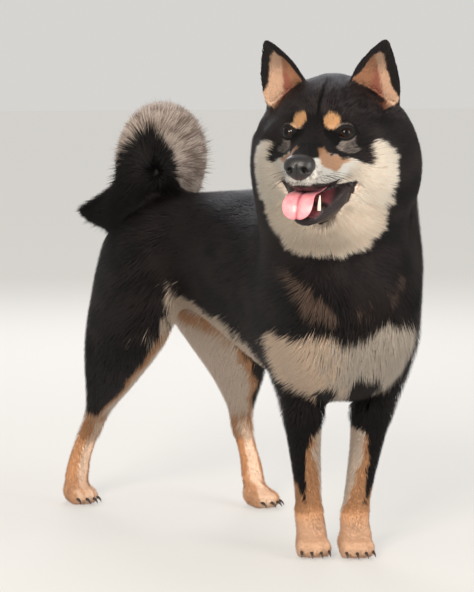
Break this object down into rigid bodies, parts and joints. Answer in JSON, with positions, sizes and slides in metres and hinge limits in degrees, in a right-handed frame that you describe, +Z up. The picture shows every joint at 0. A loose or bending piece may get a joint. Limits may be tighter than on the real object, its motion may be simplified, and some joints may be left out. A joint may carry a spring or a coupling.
{
  "type": "shiba inu",
  "caption": "Life-size model of a black and tan shiba inu, standing with its head turned to its right, mouth open and tail curled over.",
  "frame": {"origin": "middle of the whole animal's bounding box, on the floor under its paws", "axes": "+X to the dog's left, -Y the way its body faces, +Z up; the head is turned 48 degrees to the dog's right"},
  "size_m": [0.2388, 0.5822, 0.5579],
  "materials": {
    "black_coat": "matt fur",
    "tan_coat": "matt fur",
    "cream_coat": "matt fur",
    "nose_leather": "moist and pebbled",
    "tongue_flesh": "moist",
    "eye_surface": "wet gloss"
  },
  "bodies": {
    "root": {"head": "black_coat", "neck": "black_coat", "chest": "black_coat", "loin": "black_coat", "rump": "black_coat", "tail": "black_coat", "ear_left": "black_coat", "ear_right": "black_coat", "lower_jaw": "cream_coat", "nose": "nose_leather", "tongue": "tongue_flesh", "eye_left": "eye_surface", "eye_right": "eye_surface", "foreleg_left": "black_coat", "foreleg_right": "black_coat", "hind_leg_left": "black_coat", "hind_leg_right": "black_coat", "forepaw_left": "tan_coat", "forepaw_right": "tan_coat", "hind_foot_left": "tan_coat", "hind_foot_right": "tan_coat"}
  },
  "joints": []
}
